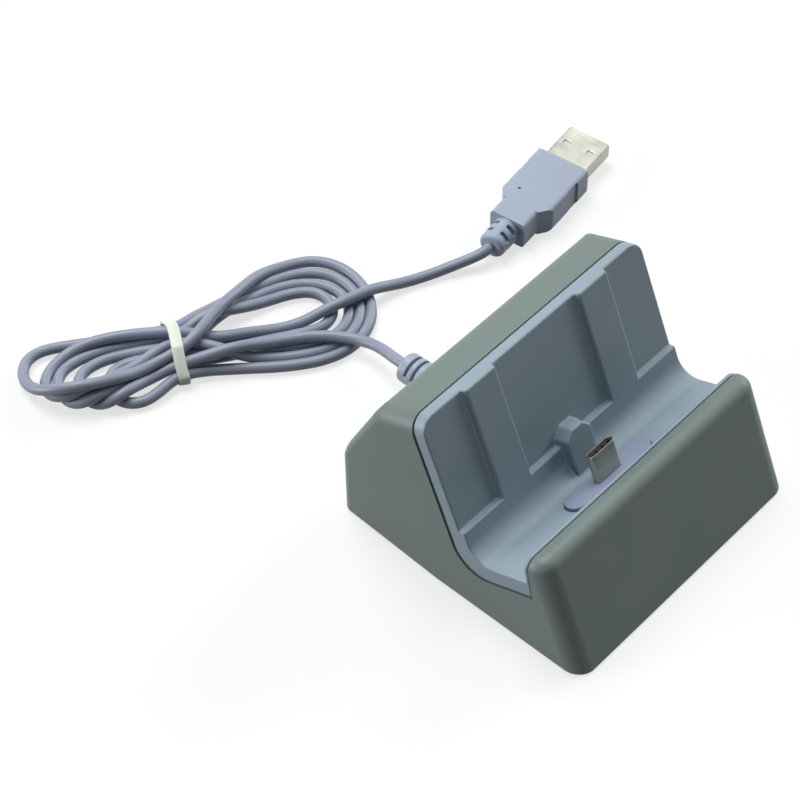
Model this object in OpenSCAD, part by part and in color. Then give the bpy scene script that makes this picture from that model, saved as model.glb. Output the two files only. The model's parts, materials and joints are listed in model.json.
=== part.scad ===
/* [Housing] */
// Width of the housing
body_w = 74.5; // [72:0.5:90]
// Depth of the housing at its lower rim
body_d = 72.2; // [69:0.2:86]
// Lean of the panel, the front face and the plug away from upright, in degrees
lean = 23; // [20:1:26]
// Height of the top strip, measured up the lean
top_h = 50.2; // [44:0.2:60]
// Height of the front lip, measured up the lean
lip_h = 18.5; // [17.5:0.1:20]
// Height of the upright rear wall
rear_h = 20; // [17:0.5:24]
// Depth of the top strip behind the cradle
strip_d = 10.4; // [9:0.1:13]
// How much narrower each end gets towards the rear wall
rear_taper = 1.2; // [0.5:0.1:2]
// Thickness of the housing's walls
wall = 2; // [1.6:0.1:2.4]
// Radius of the two front corners
corner_r = 4.5; // [4:0.1:7]
// Radius of the two top corners
top_r = 4.3; // [3.5:0.1:6]
// Radius of the rear corners and the rear edge
rear_r = 2.8; // [2.4:0.1:5]
// Radius of the lip's top edge and the strip's rear edge
edge_r = 3; // [2.4:0.1:3.4]
// Width of the parting groove round the cradle
seam = 0.4; // [0.2:0.1:0.8]

/* [Cradle] */
// Distance of the cradle's back from the leaning plane through the middle of the base
cradle_back = 5.3; // [4.5:0.1:6.5]
// Thickness of the panel at its pockets
panel_t = 3.4; // [2.8:0.1:4]
// Depth of the three pockets in the panel
pocket_deep = 1.5; // [0.8:0.1:2]
// Height of the ledge at the foot of the pockets, measured up the lean
ledge_h = 20.5; // [19.5:0.1:24]
// Width of the two raised strips between the pockets
strip_w = 9.5; // [6:0.5:11]
// Distance of each raised strip from the middle
strip_x = 18.9; // [15:0.1:22]
// Height of the trough's floor, measured up the lean
floor_h = 12.2; // [11.6:0.1:13]
// Thickness of the trough's floor
floor_t = 4.4; // [3.8:0.1:5]
// Clear width of the trough at its floor
trough_w = 15.6; // [14:0.1:16.4]
// Flare of the trough's front wall, in degrees
lip_flare = 12; // [8:1:15]
// Thickness of the cradle's front wall
cradle_lip_t = 1.1; // [0.8:0.1:1.4]
// Inner radius where the panel meets the floor
trough_r = 5; // [4:0.1:6]
// Width of the spacer boss behind the plug
boss_w = 8; // [6:0.5:9]
// Height of the spacer boss, measured up the lean
boss_h = 24.4; // [22:0.1:27]
// How far the spacer boss stands off the pocket floor
boss_out = 4.2; // [3:0.1:4.8]

/* [Connector] */
// Width of the plug's metal shell
plug_w = 8.25; // [8:0.05:8.6]
// Thickness of the plug's metal shell
plug_t = 2.4; // [2.2:0.05:2.6]
// Length of the plug above its pad
plug_out = 7.2; // [6:0.1:7.5]
// Distance of the plug's middle in front of the raised strips
plug_fwd = 8; // [7.6:0.1:8.4]
// Length of the carrier pad round the plug
pad_l = 27.2; // [22:0.1:30]
// Width of the carrier pad
pad_w = 6; // [5:0.1:7]
// How far the pad stands above the trough's floor
pad_proud = 0.6; // [0.2:0.1:1]
// Gap round the pad in the trough's floor
pad_gap = 0.2; // [0.1:0.05:0.4]

/* [Base] */
// Thickness of the base plate
plate_t = 2; // [1.6:0.1:2.4]
// How far the feet lift the housing off the table
foot_proud = 0.6; // [0.4:0.1:1]
// Diameter of the feet
foot_d = 9; // [7:0.5:11]
// Distance of the feet's middles from the housing's ends
foot_end = 10.75; // [10.25:0.25:15.25]
// Distance of the feet's middles from the front and rear rims
foot_rim = 10.6; // [9:0.1:12]
// Distance of the base screws from the housing's ends
post_end = 9.25; // [8.75:0.25:13.25]
// Distance of the base screws from the feet, front to back
post_step = 11.5; // [10.5:0.5:14.5]
// Outer diameter of the screw posts
post_d = 6; // [5:0.1:7]
// Shank diameter of the small screws
screw_d = 2.2; // [1.8:0.1:2.6]
// Play round pieces that drop into one another
clearance = 0.2; // [0.1:0.05:0.4]

/* [Cord] */
// Diameter of the cord
cord_d = 2.8; // [2.4:0.1:3.4]
// Height of the cord's exit in the rear wall
exit_z = 8.6; // [7.6:0.1:12]
// Length of the rear strain relief outside the wall
relief_l = 12.9; // [12:0.1:15]
// Diameter of the rear strain relief at the wall
relief_d = 8.6; // [8:0.1:9.4]
// Diameter of the rear strain relief at its end
relief_end_d = 7.6; // [6.5:0.1:8]
// Spacing of the slots in the strain reliefs
slot_pitch = 2.1; // [1.8:0.1:2.3]
// Width of the tie round the bundled cord
tie_w = 2.8; // [2:0.1:3.5]
// Thickness of the tie
tie_t = 0.6; // [0.4:0.1:1]

/* [USB-A plug] */
// Width of the moulded grip
grip_w = 15.2; // [14:0.1:16.5]
// Height of the moulded grip
grip_h = 7.8; // [7:0.1:8.4]
// Length of the wide part of the grip
grip_l = 17.6; // [14:0.1:18]
// Width of the narrow part of the grip
tail_w = 10.2; // [9:0.1:11]
// Length of the narrow part of the grip
tail_l = 6; // [4:0.1:7]
// Width of the metal shell
shell_w = 12; // [11.8:0.1:12.2]
// Height of the metal shell
shell_h = 4.5; // [4.4:0.1:4.7]
// Length of the metal shell outside the grip
shell_l = 11.2; // [11:0.1:12.5]
// Thickness of the metal shells
sheet = 0.3; // [0.2:0.05:0.4]

/* [Hidden] */

$fn = 48;
eps = 0.01;
over = 1;
far = 200;

// Places along the lean: y is minus the distance in front of the leaning middle plane
half_w = body_w / 2;
half_d = body_d / 2;
front_y = -(half_d + foot_proud * tan(lean)) * cos(lean);
trough_mid = -(cradle_back + panel_t + trough_w / 2);
below = 15;
strip_rear_y = strip_d - cradle_back;
pocket_y = -(cradle_back + panel_t);
face_y = pocket_y - pocket_deep;
under_h = floor_h - floor_t;
lip_foot_y = face_y - trough_w;
lip_slope = tan(lip_flare);
outer_r = trough_r + 3;
cradle_half = half_w - 0.3;
cradle_top_r = top_r - 0.3;
pocket_draft = 0.35;
boss_root = 0.5;
boss_cut = 2.2;
ledge_draft = 0.2;
groove_deep = 0.6;
blend = 0.004;

// Connector stack, measured up the lean
plug_y = face_y - plug_fwd;
pad_top = floor_h + pad_proud;
plug_tip = pad_top + plug_out;
window_l = pad_l + 4.4;
window_w = pad_w + 3.8;
stack_h = under_h - wall;
bracket_l = window_l + 14.4;
bracket_w = window_w + 2.6;
bracket_t = 1.6;
bracket_screw_x = window_l / 2 + 3.6;
bracket_screw_l = 5.8;
bracket_r = 2;
head_t = 1.2;
recess_w = 0.5;
recess_deep = 0.7;
board_w = 16;
board_h = 10;
board_t = 0.8;
chip_w = 4;
chip_t = 1;
part_w = 1.2;
part_l = 2;
part_t = 0.6;
part_pitch = 2.6;
mouth_w = 6.6;
mouth_t = 0.9;
mouth_deep = 5;
insulator_top = plug_tip - 0.5;
spring_w = 0.3;
spring_t = 0.15;
spring_l = 4.8;
spring_pitch = 0.5;
group_pitch = 2.1;

// Base
rim_z = foot_proud;
plate_top = rim_z + plate_t;
plate_w = body_w - 2 * (rear_taper + 2.8);
plate_d = body_d - 5.2;
plate_r = 3.5;
foot_sink = 0.6;
foot_x = half_w - foot_end;
foot_y = half_d - foot_rim;
post_x = half_w - post_end;
post_y = foot_y - post_step;
post_h = 9;
post_top = plate_top + post_h;
head_d = 2 * screw_d;
pilot_d = screw_d * 0.8;
base_screw_l = 7;
web_t = 1.6;

// Cradle screws behind the panel
cradle_screw_x = 25;
cradle_screw_h = 36;
cradle_post_d = 5;
cradle_head_d = cradle_post_d + 2;
screw_skin = 1;

// Cord exit and strain reliefs
exit_y = half_d + relief_l;
neck_d = 6;
flange_d = 9;
flange_t = 1.5;
slot_w = 0.8;
slot_deep = 1.3;
slot_end = 2.9;
slot_arc = 150;
relief_edge = 1;

// Inner wires: a stub square to the board, a run along the floor and a straight end in the relief
wire_d = 1.1;
wire_gap = 0.8;
wire_pitch = 3;
wire_stub = 2;
wire_bend = [8, -0.8];
wire_near = [4, 5.2];
wire_mid = [16, 6.2];
wire_run = 7;
wire_drop = 1.2;
wire_above = 2.4;
wire_start_y = plug_y + board_t / 2;
wire_h = stack_h - board_h + wire_above;
wire_foot = [wire_h * sin(lean) + wire_start_y * cos(lean), wire_h * cos(lean) - wire_start_y * sin(lean)];
wire_end_y = half_d - wall - flange_t;

// The other plug, lying on the table
plug_at = [80.1, 66.4];
plug_turn = 7;
grip_taper = 3.2;
grip_corner = 1.5;
grip_edge = 1.2;
nose_l = 1.6;
nose_h = 1.3;
scoop_x = 8.2;
scoop_l = 4.2;
scoop_deep = 0.45;
dimple_at = [-16.3, 3.4];
dimple_d = 0.9;
dimple_deep = 0.5;
grip_l_all = grip_l + grip_taper + tail_l;
plug_relief_l = 7.5;
plug_relief_d = 7.4;
plug_relief_end_d = 7;
plug_slot_end = 2.9;
plug_slot_pitch = 2.7;
plug_slot_w = 1.1;
plug_slot_arc = 54;
plug_z = grip_h / 2;
plug_along = [cos(plug_turn), sin(plug_turn), 0];
plug_cord = [plug_at[0], plug_at[1], plug_z] - (grip_l_all + plug_relief_l) * plug_along;
tongue_t = 1.9;
tongue_l = 9.6;
tongue_z = shell_h / 2 - sheet - tongue_t / 2;
hole_w = 1.9;
hole_x = 5.6;
hole_y = 3.5;
shell_seat = 8;
bend_r = 0.4;
contact_x = 4.9;
contact_l = 8;
contact_w = 1.2;
contact_t = 0.2;
contact_inner = 1;
contact_outer = 3.5;

// Cord routes, chosen by hand, and the bundle that lies behind the stand
lobe_right = [5, 81];
lobe_right_r = 14.6;
lead_in = [cos(258.75), sin(258.75), 0];
tail_out = [cos(-26.25), sin(-26.25), 0];
hank_flat = lobe_right_r * cos(180 / $fn);
cord_z = 3;
lead_path = [[0, exit_y, exit_z], [0.4, 53, 7.9], [1.5, 57.2, 6.3], [2.2, 61.5, 4.5],
    [lobe_right[0], lobe_right[1], cord_z] + hank_flat * lead_in];
tail_path = [[lobe_right[0], lobe_right[1], cord_z] + hank_flat * tail_out,
    [21.5, 73, 2.3], [26, 70.6, 1.6], [31, 68.5, 1.5], [36, 66.6, 1.7], [41, 64, 2.8],
    [43.6, 62.5, 3.6], plug_cord];
lobe_left = [-45.5, 108.5];
lobe_left_r = 14.4;
lobe_left_tip = [-51.5, 119];
lobe_left_tip_r = 5;
tie_at = [-28.4, 97];
tie_turn = 151.7;
waist_r = 9.4;
hank_h = 6.6;
waist_z = tie_t + 0.1;
waist_h = 5.6;

function unit(v) = v / norm(v);

module leaning() {
    rotate([-lean, 0, 0]) children();
}

// A profile drawn in (y, z), drawn out along x
module along_x(length) {
    rotate([90, 0, 90]) linear_extrude(length, center = true) children();
}

// A profile drawn in (x, z), drawn out along y from y0 to y1
module along_y(y0, y1) {
    translate([0, y1, 0]) rotate([90, 0, 0]) linear_extrude(y1 - y0) children();
}

module rounded_rect(w, d, r) {
    square([w - 2 * r, d], center = true);
    square([w, d - 2 * r], center = true);
    for (sx = [-1, 1], sy = [-1, 1])
        translate([sx * (w / 2 - r), sy * (d / 2 - r)]) circle(r);
}

module obround(l, w) {
    square([l - w, w], center = true);
    for (side = [-1, 1])
        translate([side * (l - w) / 2, 0]) circle(d = w);
}

// A point given in the leaning frame, as (y, z) in the upright one
function leant(y, h) = [h * sin(lean) + y * cos(lean), h * cos(lean) - y * sin(lean)];

// What a round of radius r - g leaves outside it at a corner whose sides run along a and b;
// the round runs out into both sides at a slight angle instead of touching them
module corner_waste(at, a, b, r, g = 0) {
    half = acos(a * b) / 2;
    reach = (r - blend) / tan(half);
    centre = at + unit(a + b) * (r - blend) / sin(half);
    difference() {
        polygon([centre, at + a * reach, at - (a + b) * r, at + b * reach]);
        translate(centre) circle(max(r - g, eps));
    }
}

// The front face's place at height z above the table, as (y, z)
function front_at(z) = [z * tan(lean) + front_y / cos(lean), z];

// The wall is inset by g in each of the three outlines below; low is where the profile ends
module side_profile(g, low) {
    lip_front = leant(front_y, lip_h);
    strip_rear = leant(strip_rear_y, top_h);
    wall_top = [half_d, rear_h];
    slope = unit(wall_top - strip_rear);
    difference() {
        offset(delta = -g) polygon([front_at(low), lip_front, leant(trough_mid, lip_h),
            leant(trough_mid, top_h), strip_rear, wall_top, [half_d, low]]);
        corner_waste(lip_front, unit(leant(front_y, 0) - lip_front), [cos(lean), -sin(lean)], edge_r, g);
        corner_waste(strip_rear, [-cos(lean), sin(lean)], slope, edge_r, g);
        corner_waste(wall_top, -slope, [0, -1], rear_r, g);
    }
}

module plan_outline(g) {
    taper = rear_taper / (half_d * cos(lean) - strip_rear_y);
    end_x = half_w - taper * (half_d + below - strip_rear_y);
    difference() {
        offset(delta = -g) polygon([[-half_w, front_y], [half_w, front_y], [half_w, strip_rear_y],
            [end_x, half_d + below], [-end_x, half_d + below], [-half_w, strip_rear_y]]);
        for (side = [-1, 1])
            corner_waste([side * half_w, front_y], [-side, 0], [0, 1], corner_r, g);
    }
}

module front_outline(h, r, g) {
    difference() {
        translate([g - half_w, -far]) square([body_w - 2 * g, far + h - g]);
        for (side = [-1, 1])
            corner_waste([side * half_w, h], [-side, 0], [0, -1], r, g);
    }
}

// The block that the housing is cut from; g insets it for the inside of its wall
module block(g, low) {
    intersection() {
        along_x(2 * far) side_profile(g, low);
        leaning() translate([0, 0, -far / 2]) linear_extrude(far) plan_outline(g);
        leaning() {
            along_y(trough_mid, far) front_outline(top_h, top_r, g);
            along_y(-far, trough_mid) front_outline(lip_h, edge_r, g);
        }
    }
}

// What the rounding of one edge between two flat walls cuts away; m and n are their outward normals
module edge_waste(at, m, n, r) {
    along = unit(cross(m, n));
    x = cross(m, along);
    y = cross(along, x);
    other = cross(n, along);
    multmatrix([[x[0], y[0], along[0], at[0]], [x[1], y[1], along[1], at[1]], [x[2], y[2], along[2], at[2]]])
        translate([0, 0, -far / 4]) linear_extrude(far / 2)
            corner_waste([0, 0], [1, 0], [-(other * x), -(other * y)], r);
}

// Distance in front of the middle plane of the trough's front wall at height h, grown by g
function lip_y(h, g) = lip_foot_y - (h - floor_h) * lip_slope - g / cos(lip_flare);

// Everything in front of a line parallel to the panel, above the floor and behind the lip
module hollow_profile(back_y, low_h, g, r) {
    difference() {
        polygon([[back_y, far], [back_y, low_h], [lip_y(low_h, g), low_h], [lip_y(far, g), far]]);
        translate([back_y - r, low_h]) difference() {
            translate([0, -eps]) square([r + eps, r + eps]);
            translate([0, r]) circle(r);
        }
    }
}

// The space the cradle takes out of the housing, grown by g
module cradle_space(g) {
    hollow_profile(g - cradle_back, under_h - g, cradle_lip_t + g, outer_r + g);
}

module trough_space() {
    hollow_profile(face_y, floor_h, 0, trough_r);
}

// The body's inside, down to the opening for the base plate
module cavity() {
    difference() {
        block(wall, -below);
        leaning() along_x(2 * far) cradle_space(wall);
        translate([-far, -far, plate_top - far]) cube([2 * far, 2 * far, far]);
    }
}

// The upright rear corners and the two ends of the rear slope
module rear_edges() {
    taper = atan(rear_taper / (half_d * cos(lean) - strip_rear_y));
    wall_top = [half_d, rear_h];
    slope = unit(wall_top - leant(strip_rear_y, top_h));
    foot_v = half_d * cos(lean);
    corner_x = half_w - rear_taper;
    top_x = half_w - rear_taper * (wall_top[0] * cos(lean) - wall_top[1] * sin(lean) - strip_rear_y)
        / (foot_v - strip_rear_y);
    for (side = [-1, 1]) {
        end = [side * cos(taper), sin(taper) * cos(lean), -sin(taper) * sin(lean)];
        edge_waste([side * corner_x, half_d, 0], end, [0, 1, 0], rear_r);
        edge_waste([side * top_x, wall_top[0], wall_top[1]], end, [0, -slope[1], slope[0]], rear_r);
    }
}

module at_posts() {
    for (sx = [-1, 1], sy = [-1, 1]) translate([sx * post_x, sy * post_y, 0]) children();
}

module screw_posts() {
    for (sx = [-1, 1], sy = [-1, 1]) translate([sx * post_x, sy * post_y, plate_top]) {
        cylinder(post_top - plate_top, d = post_d);
        translate([sx > 0 ? 0 : post_x - half_w + wall / 2, -web_t / 2, 0])
            cube([half_w - wall / 2 - post_x, web_t, post_top - plate_top]);
    }
}

module at_cradle_screws() {
    for (side = [-1, 1]) translate([side * cradle_screw_x, 0, cradle_screw_h]) children();
}

module at_bracket_screws() {
    for (side = [-1, 1]) translate([side * bracket_screw_x, plug_y, 0]) children();
}

module housing() {
    color("#6f7d77") difference() {
        union() {
            difference() {
                block(0, rim_z);
                rear_edges();
                cavity();
                translate([0, 0, rim_z - over]) linear_extrude(plate_t + over)
                    rounded_rect(plate_w + 2 * clearance, plate_d + 2 * clearance, plate_r + clearance);
            }
            screw_posts();
        }
        leaning() {
            along_x(2 * far) cradle_space(0);
            // Parting groove down both ends and along the lip
            for (side = [-1, 1]) translate([side * (half_w - groove_deep + over), 0, 0])
                along_x(2 * over) intersection() {
                    cradle_space(seam);
                    translate([-far, -far]) square([far, far + top_h - top_r]);
                }
            along_x(2 * far) intersection() {
                cradle_space(seam);
                translate([-far, lip_h - groove_deep]) square([far + lip_foot_y, far]);
            }
            at_cradle_screws() translate([0, -cradle_back - over, 0]) rotate([-90, 0, 0])
                cylinder(wall + 2 * over, d = cradle_post_d + clearance);
            translate([0, plug_y, stack_h - eps]) linear_extrude(wall + 2 * eps)
                square([window_l, window_w], center = true);
            at_bracket_screws() translate([0, 0, stack_h - eps])
                cylinder(wall + 2 * eps, d = screw_d + clearance);
        }
        at_posts() translate([0, 0, plate_top - eps]) cylinder(base_screw_l - plate_t, d = pilot_d);
        translate([0, half_d - wall - over, exit_z]) rotate([-90, 0, 0]) cylinder(wall + 2 * over, d = neck_d);
    }
}

// Outline of the cradle seen square to the panel
module cradle_outline() {
    translate([0, top_h / 2]) rounded_rect(2 * cradle_half, top_h, cradle_top_r);
    translate([-cradle_half, -far / 4]) square([2 * cradle_half, far / 4 + top_h / 2]);
}

module cradle_lip_outline() {
    translate([0, lip_h / 2]) rounded_rect(2 * cradle_half, lip_h, edge_r);
    translate([-cradle_half, 0]) square([2 * cradle_half, lip_h / 2]);
}

// The three pockets, with drafted sides and a sloping ledge
module pockets() {
    inner = strip_x - strip_w / 2;
    outer = strip_x + strip_w / 2;
    reach = cradle_half + over;
    intersection() {
        along_x(2 * far) polygon([[pocket_y, far], [pocket_y, ledge_h + ledge_draft],
            [face_y - eps, ledge_h], [face_y - over, ledge_h], [face_y - over, far]]);
        linear_extrude(far) {
            polygon([[-inner + pocket_draft, pocket_y], [inner - pocket_draft, pocket_y],
                [inner, face_y - eps], [inner, face_y - over], [-inner, face_y - over], [-inner, face_y - eps]]);
            for (side = [-1, 1])
                polygon([[side * (outer + pocket_draft), pocket_y], [side * reach, pocket_y],
                    [side * reach, face_y - over], [side * outer, face_y - over], [side * outer, face_y - eps]]);
        }
    }
}

module spacer_boss() {
    top = boss_w / 2 - boss_cut;
    along_y(pocket_y - boss_out, pocket_y + over)
        polygon([[-boss_w / 2, floor_h - boss_root], [boss_w / 2, floor_h - boss_root],
            [boss_w / 2, boss_h - boss_cut], [top, boss_h], [-top, boss_h], [-boss_w / 2, boss_h - boss_cut]]);
}

module cradle_insert() {
    color("#7f929e") leaning() difference() {
        union() {
            difference() {
                intersection() {
                    along_x(2 * cradle_half) cradle_space(0);
                    union() {
                        along_y(lip_foot_y + trough_w / 2, 0) cradle_outline();
                        along_y(front_y, lip_foot_y + trough_w / 2) cradle_lip_outline();
                    }
                }
                along_x(2 * far) trough_space();
                pockets();
            }
            spacer_boss();
            at_cradle_screws() translate([0, -cradle_back - eps, 0]) rotate([-90, 0, 0])
                cylinder(wall + eps, d = cradle_post_d);
        }
        translate([0, plug_y, under_h - over]) linear_extrude(floor_t + 2 * over)
            obround(pad_l + 2 * pad_gap, pad_w + 2 * pad_gap);
        at_cradle_screws() translate([0, wall - cradle_back + eps, 0]) rotate([90, 0, 0])
            cylinder(wall + panel_t - screw_skin, d = screw_d);
        at_bracket_screws() translate([0, 0, under_h - eps])
            cylinder(bracket_screw_l - bracket_t - wall, d = screw_d);
    }
}

module base_plate() {
    color("#5f6c67") difference() {
        translate([0, 0, rim_z]) linear_extrude(plate_t) rounded_rect(plate_w, plate_d, plate_r);
        at_posts() {
            translate([0, 0, rim_z - eps]) cylinder(plate_t + 2 * eps, d = screw_d);
            translate([0, 0, rim_z]) screw_cone();
        }
        for (sx = [-1, 1], sy = [-1, 1]) translate([sx * foot_x, sy * foot_y, rim_z - eps])
            cylinder(foot_sink + eps, d = foot_d);
    }
}

module foot(sx, sy) {
    color("#3a3d3d") translate([sx * foot_x, sy * foot_y, 0]) {
        cylinder(foot_proud / 2, d1 = foot_d - foot_proud, d2 = foot_d);
        translate([0, 0, foot_proud / 2]) cylinder(foot_proud / 2 + foot_sink, d = foot_d);
    }
}

module foot_front_left() { foot(-1, -1); }
module foot_front_right() { foot(1, -1); }
module foot_rear_left() { foot(-1, 1); }
module foot_rear_right() { foot(1, 1); }

// The head of a countersunk screw, which its seat repeats
module screw_cone() {
    cylinder(screw_d / 2, d1 = head_d, d2 = screw_d);
}

// A screw whose shank starts at z = 0, with its head below
module pan_screw(length, head) {
    difference() {
        union() {
            translate([0, 0, -head_t]) cylinder(head_t, d = head);
            translate([0, 0, -eps]) cylinder(length + eps, d = screw_d);
        }
        translate([0, 0, -head_t]) cross_recess();
    }
}

module cross_recess() {
    for (turn = [0, 90]) rotate(turn) cube([screw_d, recess_w, 2 * recess_deep], center = true);
}

module base_screws() {
    color("silver") at_posts() translate([0, 0, rim_z]) {
        difference() {
            union() {
                screw_cone();
                cylinder(plate_t, d = screw_d);
                cylinder(base_screw_l - eps, d = pilot_d);
            }
            cross_recess();
        }
    }
}

module cradle_screws() {
    color("silver") leaning() at_cradle_screws() translate([0, wall - cradle_back, 0])
        rotate([90, 0, 0]) pan_screw(wall + panel_t - screw_skin - 2 * eps, cradle_head_d);
}

module connector_carrier() {
    color("#8e97b4") leaning() translate([0, plug_y, 0]) difference() {
        union() {
            translate([0, 0, stack_h]) linear_extrude(pad_top - stack_h) obround(pad_l, pad_w);
            translate([0, 0, stack_h]) linear_extrude(wall)
                square([window_l - 2 * clearance, window_w - 2 * clearance], center = true);
        }
        translate([0, 0, stack_h - over]) linear_extrude(far) obround(plug_w, plug_t);
    }
}

module carrier_bracket() {
    color("#4b4f55") leaning() translate([0, 0, stack_h - bracket_t]) difference() {
        translate([0, plug_y, 0]) linear_extrude(bracket_t) rounded_rect(bracket_l, bracket_w, bracket_r);
        translate([0, plug_y, -over]) linear_extrude(bracket_t + 2 * over)
            square([board_w + 2 * clearance, board_t + 2 * chip_t + 2 * clearance], center = true);
        at_bracket_screws() translate([0, 0, -over]) cylinder(bracket_t + 2 * over, d = screw_d);
    }
}

module bracket_screws() {
    color("silver") leaning() at_bracket_screws() translate([0, 0, stack_h - bracket_t])
        pan_screw(bracket_screw_l - 2 * eps, head_d);
}

module usb_c_shell() {
    color("#8a8a84") leaning() translate([0, plug_y, stack_h]) linear_extrude(plug_tip - stack_h)
        difference() {
            obround(plug_w, plug_t);
            obround(plug_w - 2 * sheet, plug_t - 2 * sheet);
        }
}

module usb_c_insulator() {
    color("#1c1d1f") leaning() translate([0, plug_y, 0]) difference() {
        translate([0, 0, stack_h]) linear_extrude(insulator_top - stack_h)
            obround(plug_w - 2 * sheet, plug_t - 2 * sheet);
        translate([0, 0, insulator_top - mouth_deep]) linear_extrude(far)
            square([mouth_w, mouth_t], center = true);
    }
}

// Three groups of contact springs along each side of the mouth
module usb_c_contacts() {
    color("#d8c078") leaning() for (group = [-1, 0, 1], i = [-1, 0, 1], side = [-1, 1])
        translate([group * group_pitch + i * spring_pitch, plug_y + side * (mouth_t - spring_t) / 2,
            insulator_top - mouth_deep])
            linear_extrude(spring_l) square([spring_w, spring_t], center = true);
}

module circuit_board() {
    color("#2f6b45") leaning() translate([0, plug_y, stack_h - board_h]) linear_extrude(board_h)
        square([board_w, board_t], center = true);
}

module charge_chip() {
    color("#26282b") leaning() translate([-board_w / 4, plug_y + (board_t + chip_t) / 2, stack_h - board_h * 0.45])
        cube([chip_w, chip_t, chip_w], center = true);
}

// Small capacitors and resistors on the board's front face
module board_parts() {
    color("#b79a6a") leaning() for (i = [-2:2])
        translate([i * part_pitch, plug_y - (board_t + part_t) / 2, stack_h - board_h * 0.6])
            cube([part_w, part_t, part_l], center = true);
}

// A tube of the given diameter through a list of points that is nowhere upright
function heading(path, i) =
    i == 0 ? unit(path[1] - path[0]) :
    i == len(path) - 1 ? unit(path[i] - path[i - 1]) :
    unit(unit(path[i + 1] - path[i]) + unit(path[i] - path[i - 1]));
function ring(at, along, d, sides) =
    let (across = unit(cross(along, [0, 0, 1])), up = cross(across, along))
    [for (k = [0:sides - 1]) at + d / 2 * (cos(360 * k / sides) * across + sin(360 * k / sides) * up)];

module tube(path, d, sides = 8, first = undef, last = undef) {
    n = len(path);
    rings = [for (i = [0:n - 1])
        ring(path[i], i == 0 && first != undef ? first : i == n - 1 && last != undef ? last : heading(path, i),
            d, sides)];
    points = [for (r = rings) each r];
    faces = concat(
        [[for (k = [0:sides - 1]) sides - 1 - k]],
        [for (i = [0:n - 2], k = [0:sides - 1])
            [i * sides + k, i * sides + (k + 1) % sides, (i + 1) * sides + (k + 1) % sides, (i + 1) * sides + k]],
        [[for (k = [0:sides - 1]) (n - 1) * sides + k]]);
    polyhedron(points, [for (f = faces) [for (k = [len(f) - 1:-1:0]) f[k]]], convexity = 6);
}

// An inner wire from the board's rear face to the inner end of the rear relief
module wire(place, side_x, side_z) {
    x = place * wire_pitch;
    start = [x, wire_foot[0], wire_foot[1]];
    end = [side_x * wire_gap, wire_end_y, exit_z + side_z * wire_gap];
    leaned = [0, cos(lean), -sin(lean)];
    tube([start, start + wire_stub * leaned, start + [0, wire_bend[0], wire_bend[1]],
        [x * 0.8, wire_near[0], wire_near[1]], [x * 0.5, wire_mid[0], wire_mid[1]],
        end - [0, wire_run, wire_drop], end - [0, wire_stub, 0], end], wire_d, 6, leaned, [0, 1, 0]);
}

module power_wire() { color("#b23a34") wire(-1.5, -1, 1); }
module ground_wire() { color("#2a2a2c") wire(-0.5, -1, -1); }
module data_wire_plus() { color("#3d8a55") wire(0.5, 1, -1); }
module data_wire_minus() { color("#d9dad6") wire(1.5, 1, 1); }

// Arc-shaped slots cut into a relief that points along +x
module relief_slots(r, places, slots, arc, w) {
    for (x = places, k = [0:slots - 1])
        translate([x, 0, 0]) rotate([0, 90, 0])
            rotate([0, 0, 180 + 360 * k / slots - arc / 2])
                rotate_extrude(angle = arc) translate([r - slot_deep, -w / 2]) square([slot_deep + over, w]);
}

// A tapered sleeve along +x, rounded at its outer end
module relief_body(length, d0, d1, round_r) {
    rotate([0, 90, 0]) rotate_extrude() {
        polygon([[0, 0], [d0 / 2, 0], [d1 / 2, length - round_r], [d1 / 2 - round_r, length], [0, length]]);
        translate([d1 / 2 - round_r, length - round_r]) intersection() {
            circle(round_r);
            square(round_r);
        }
    }
}

module rear_strain_relief() {
    color("#98a4b8") translate([0, half_d, exit_z]) rotate([0, 0, 90]) {
        difference() {
            relief_body(relief_l, relief_d, relief_end_d, relief_edge);
            relief_slots(relief_end_d / 2, [for (k = [0:3]) relief_l - slot_end - k * slot_pitch], 2,
                slot_arc, slot_w);
        }
        translate([-wall - eps, 0, 0]) rotate([0, 90, 0]) cylinder(wall + 2 * eps, d = neck_d);
        translate([-wall - flange_t, 0, 0]) rotate([0, 90, 0]) cylinder(flange_t, d = flange_d);
    }
}

module cord_lead() {
    color("#9698b2") tube(lead_path, cord_d, 8, [0, 1, 0], -lead_in);
}

module hank_outline() {
    hull() {
        translate(lobe_right) circle(lobe_right_r);
        translate(tie_at) circle(waist_r);
    }
    hull() {
        translate(lobe_left) circle(lobe_left_r);
        translate(lobe_left_tip) circle(lobe_left_tip_r);
        translate(tie_at) circle(waist_r);
    }
}

// A frame across the bundle at the tie: x runs along the bundle, y across it
module at_tie() {
    translate([tie_at[0], tie_at[1], 0]) rotate([0, 0, tie_turn]) children();
}

module waist_section() {
    translate([0, waist_z + waist_h / 2]) obround(2 * waist_r, waist_h);
}

module cord_hank() {
    color("#9698b2") {
        difference() {
            linear_extrude(hank_h) hank_outline();
            at_tie() translate([-tie_w / 2, -far / 2, -over]) cube([tie_w, far, far]);
        }
        at_tie() along_x(tie_w + 2 * eps) waist_section();
    }
}

module cord_tail() {
    color("#9698b2") tube(tail_path, cord_d, 8, tail_out, plug_along);
}

module cord_tie() {
    color("#dfe3d8") at_tie() along_x(tie_w) difference() {
        translate([0, waist_z + waist_h / 2]) obround(2 * (waist_r + tie_t), waist_h + 2 * tie_t);
        waist_section();
    }
}

module at_plug() {
    translate([plug_at[0], plug_at[1], 0]) rotate([0, 0, plug_turn]) children();
}

module grip_section(w) {
    translate([0, grip_h / 2]) rounded_rect(w, grip_h, grip_edge);
}

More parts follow.
